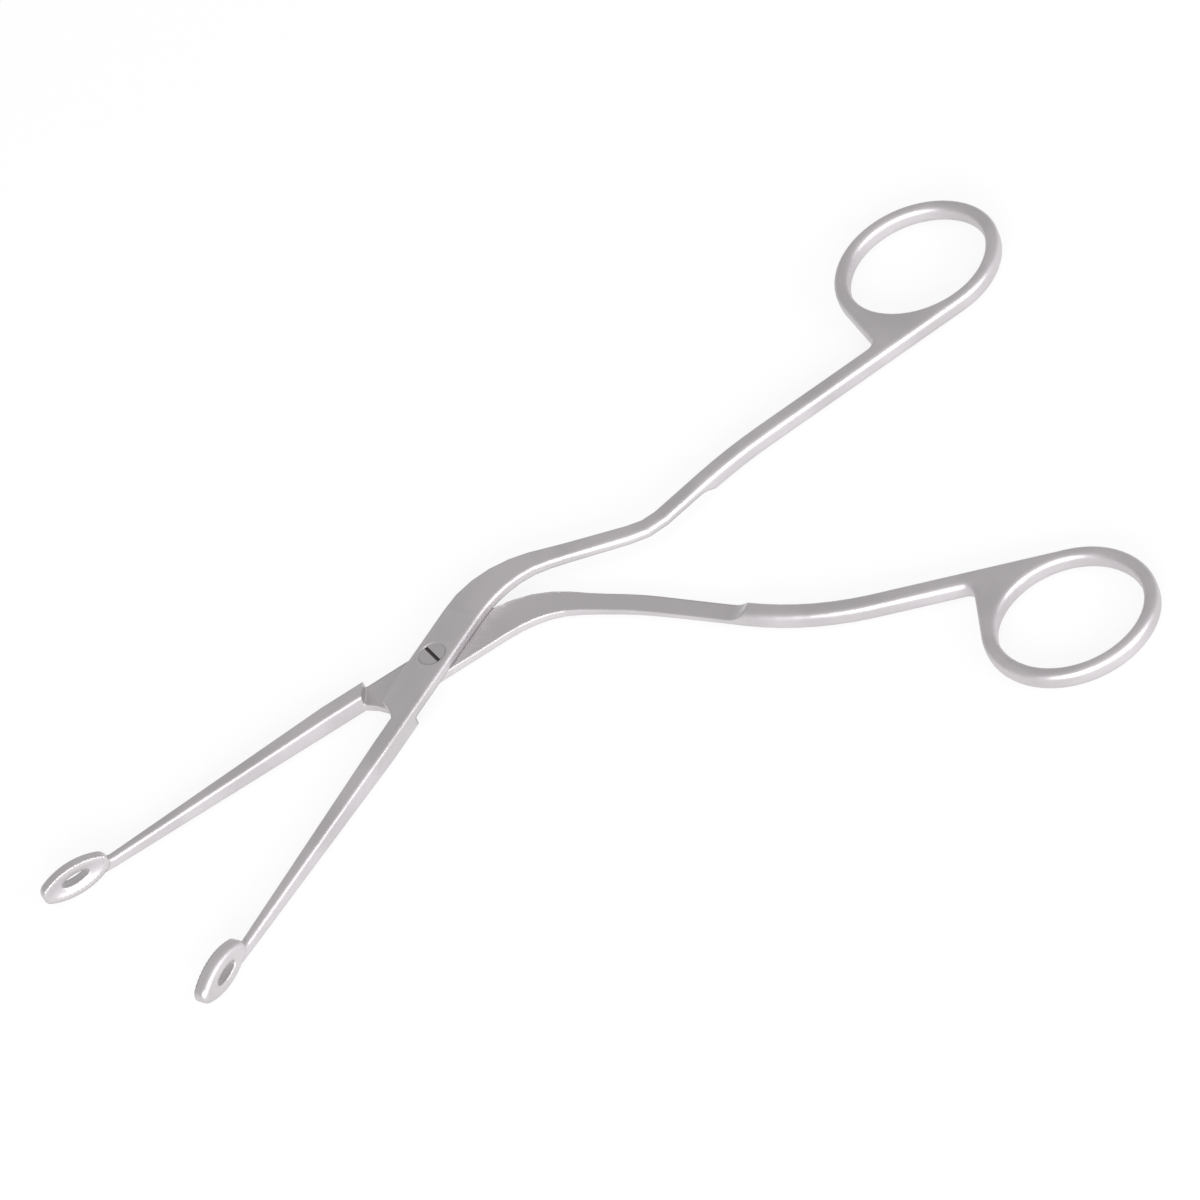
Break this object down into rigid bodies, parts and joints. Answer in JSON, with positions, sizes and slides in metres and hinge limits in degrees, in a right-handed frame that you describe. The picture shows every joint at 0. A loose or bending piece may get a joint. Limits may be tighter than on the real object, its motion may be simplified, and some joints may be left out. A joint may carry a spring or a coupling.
{
  "type": "magill forceps",
  "caption": "Long angled introducing forceps with crossed S-bent shanks, a slotted pivot screw, oval finger rings and oval fenestrated serrated tips.",
  "frame": {"origin": "on the pivot axis at the flat underside of the lap joint", "axes": "+X along the middle of the open jaws towards the finger rings, +Y across the forceps, +Z along the pivot axis towards the screw head"},
  "size_m": [0.2529, 0.1663, 0.0078],
  "materials": {
    "instrument_steel": "satin, glass-bead matted stainless steel"
  },
  "bodies": {
    "lower_half": {"finger_half": "instrument_steel", "pivot_screw": "instrument_steel"},
    "upper_half": {"thumb_half": "instrument_steel"}
  },
  "joints": [
    {"name": "lap_pivot", "type": "hinge", "parent": "lower_half", "child": "upper_half", "pos_m": [0, 0, 0.0023], "axis": [0, 0, 1], "range_deg": [-31, 24]}
  ]
}
